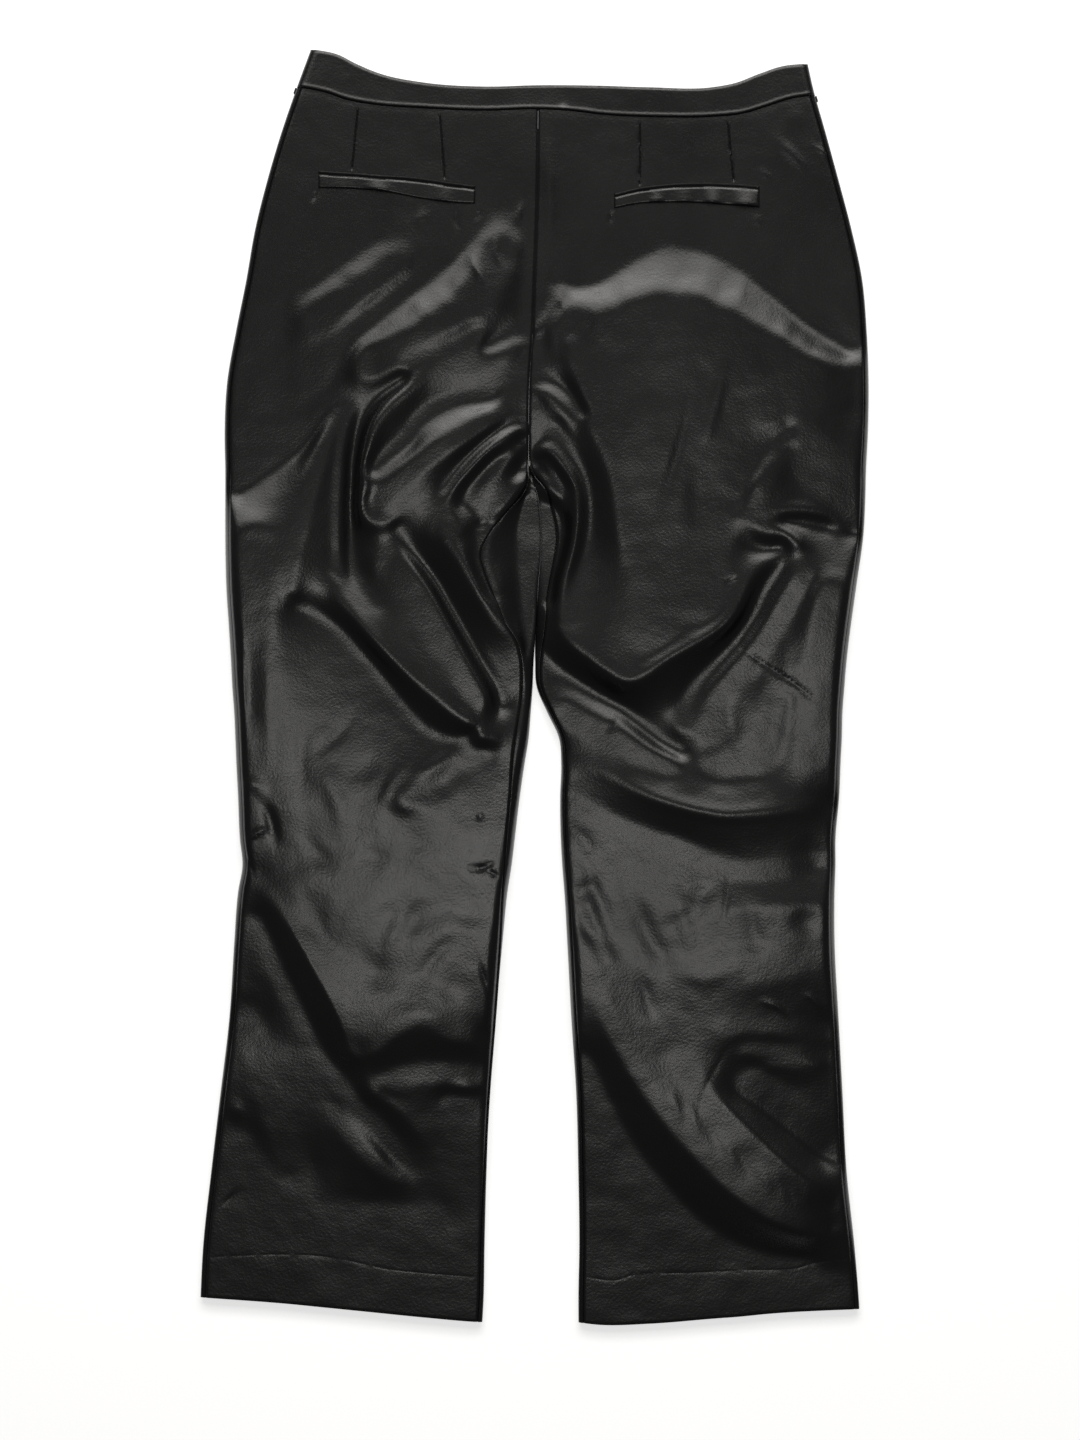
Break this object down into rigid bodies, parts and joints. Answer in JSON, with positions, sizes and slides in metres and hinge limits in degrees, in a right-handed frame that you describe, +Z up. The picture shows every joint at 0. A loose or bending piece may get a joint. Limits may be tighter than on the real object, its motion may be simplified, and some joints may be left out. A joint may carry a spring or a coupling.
{
  "type": "faux leather trousers",
  "caption": "Pair of black coated-cloth trousers with flared legs, waistband and back welt pockets, laid flat with the back uppermost.",
  "frame": {"origin": "middle of the bounding box's base, on the surface that the trousers lie on", "axes": "+Y from the hems towards the waist, +Z up out of the back of the trousers, +X to the wearer's right as they lie on their front"},
  "size_m": [0.525, 1.0018, 0.0221],
  "materials": {
    "leather_face": "satin",
    "cloth_inside": "matte"
  },
  "bodies": {
    "root": {"back_left": "leather_face", "back_right": "leather_face", "front_left": "leather_face", "front_right": "leather_face", "waistband_back": "leather_face", "waistband_front": "leather_face", "welt_left": "leather_face", "welt_right": "leather_face", "fly_shield": "cloth_inside", "hem_left": "leather_face", "hem_right": "leather_face"}
  },
  "joints": []
}
